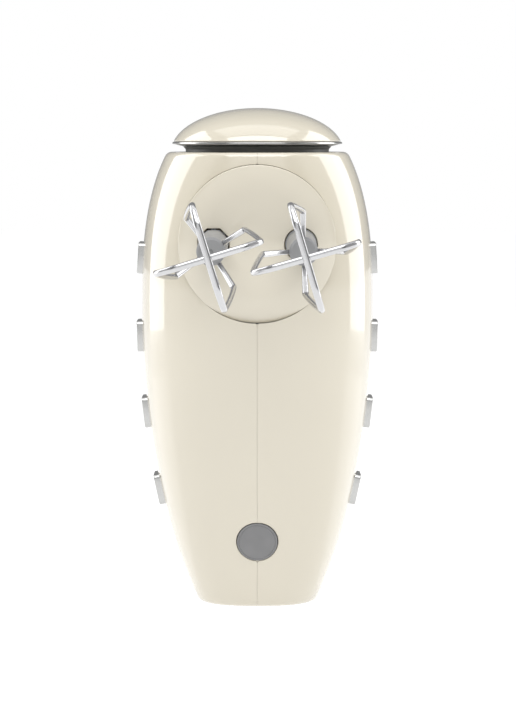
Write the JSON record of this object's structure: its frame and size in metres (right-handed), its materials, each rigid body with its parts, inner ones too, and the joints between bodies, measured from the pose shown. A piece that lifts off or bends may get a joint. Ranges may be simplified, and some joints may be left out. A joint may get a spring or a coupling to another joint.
{
  "type": "hand mixer",
  "caption": "Hand-held electric food mixer standing on its heel, with an egg-shaped body, a loop handle, a domed nose and removable twisted-wire beaters driven through a worm gearbox.",
  "frame": {"origin": "where the motor axis meets the flat surface that the heel's rubber foot stands on", "axes": "+Z from the heel up to the nose along the motor axis; -Y the way the beaters point; +Y towards the handle; +X to the right as the underside is looked at from the beaters' side with the nose up"},
  "size_m": [0.0992, 0.2792, 0.2039],
  "materials": {
    "cream_gloss": "gloss, very light texture",
    "polished_chrome": "polished",
    "beater_chrome": "polished",
    "satin_aluminium": "satin",
    "dark_grey_plastic": "satin",
    "beater_grey_plastic": "satin",
    "frame_plastic": "matt",
    "grey_rubber": "matt",
    "black_window": "gloss",
    "steel": "ground",
    "lamination_steel": "dull",
    "copper": "enamelled",
    "bronze": "dull",
    "carbon": "matt",
    "nylon": "satin",
    "board_green": "satin"
  },
  "bodies": {
    "housing": {"left_shell": "cream_gloss", "right_shell": "cream_gloss", "boss_cover": "cream_gloss", "nose_cap": "cream_gloss", "nose_ring": "polished_chrome", "side_trim_left_1": "polished_chrome", "side_trim_left_2": "polished_chrome", "side_trim_left_3": "polished_chrome", "side_trim_left_4": "polished_chrome", "side_trim_right_1": "polished_chrome", "side_trim_right_2": "polished_chrome", "side_trim_right_3": "polished_chrome", "side_trim_right_4": "polished_chrome", "nose_neck": "dark_grey_plastic", "cord_gland": "dark_grey_plastic", "heel_foot": "grey_rubber", "underside_pad": "grey_rubber", "control_panel": "satin_aluminium", "display_window": "black_window", "control_board": "board_green", "gearbox_base": "frame_plastic", "gearbox_lid": "frame_plastic", "rear_bracket": "frame_plastic", "lower_bush_left": "bronze", "lower_bush_right": "bronze", "upper_bush_left": "bronze", "upper_bush_right": "bronze", "front_bearing": "bronze", "rear_bearing": "bronze", "ejector_spring": "steel", "shell_screw_1": "steel", "shell_screw_2": "steel", "shell_screw_3": "steel", "motor_stator": "lamination_steel", "field_coil_left": "copper", "field_coil_right": "copper", "carbon_brush_left": "carbon", "carbon_brush_right": "carbon"},
    "rotor": {"motor_shaft": "steel", "armature": "lamination_steel", "commutator": "copper", "cooling_fan": "frame_plastic"},
    "spindle_left_body": {"spindle_left": "steel", "worm_wheel_left": "nylon"},
    "spindle_right_body": {"spindle_right": "steel", "worm_wheel_right": "nylon"},
    "beater_left": {"beater_left_hub": "beater_grey_plastic", "beater_left_shaft": "steel", "beater_left_outer_wire": "beater_chrome", "beater_left_inner_wire": "beater_chrome"},
    "beater_right": {"beater_right_hub": "beater_grey_plastic", "beater_right_shaft": "steel", "beater_right_outer_wire": "beater_chrome", "beater_right_inner_wire": "beater_chrome"},
    "ejector": {"ejector_button": "dark_grey_plastic", "ejector_fork": "frame_plastic"},
    "power_key": {"power_button": "dark_grey_plastic"},
    "plus_key": {"plus_button": "dark_grey_plastic"},
    "minus_key": {"minus_button": "dark_grey_plastic"}
  },
  "joints": [
    {"name": "rotor_spin", "type": "hinge", "parent": "housing", "child": "rotor", "pos_m": [0, 0, 0.1], "axis": [0, 0, 1], "continuous": true},
    {"name": "spindle_left_spin", "type": "hinge", "parent": "housing", "child": "spindle_left_body", "pos_m": [-0.01736, 0, 0.1497], "axis": [0, 1, 0], "continuous": true},
    {"name": "spindle_right_spin", "type": "hinge", "parent": "housing", "child": "spindle_right_body", "pos_m": [0.01736, 0, 0.1497], "axis": [0, 1, 0], "continuous": true},
    {"name": "beater_left_pull", "type": "slide", "parent": "spindle_left_body", "child": "beater_left", "axis": [0, -1, 0], "range_m": [0, 0.052]},
    {"name": "beater_right_pull", "type": "slide", "parent": "spindle_right_body", "child": "beater_right", "axis": [0, -1, 0], "range_m": [0, 0.052]},
    {"name": "ejector_press", "type": "slide", "parent": "housing", "child": "ejector", "axis": [0, -1, 0], "range_m": [0, 0.006], "stiffness_N_per_m": 500, "springref_m": -0.003, "deforming": ["ejector_spring"]},
    {"name": "power_press", "type": "slide", "parent": "housing", "child": "power_key", "axis": [0, -1, 0], "range_m": [0, 0.001], "stiffness_N_per_m": 1000, "springref_m": -0.001},
    {"name": "plus_press", "type": "slide", "parent": "housing", "child": "plus_key", "axis": [0, -1, 0], "range_m": [0, 0.001], "stiffness_N_per_m": 1000, "springref_m": -0.001},
    {"name": "minus_press", "type": "slide", "parent": "housing", "child": "minus_key", "axis": [0, -1, 0], "range_m": [0, 0.001], "stiffness_N_per_m": 1000, "springref_m": -0.001}
  ],
  "couplings": [
    {"joint": "spindle_left_spin", "follows": "rotor_spin", "ratio": 0.076923},
    {"joint": "spindle_right_spin", "follows": "rotor_spin", "ratio": -0.076923}
  ]
}
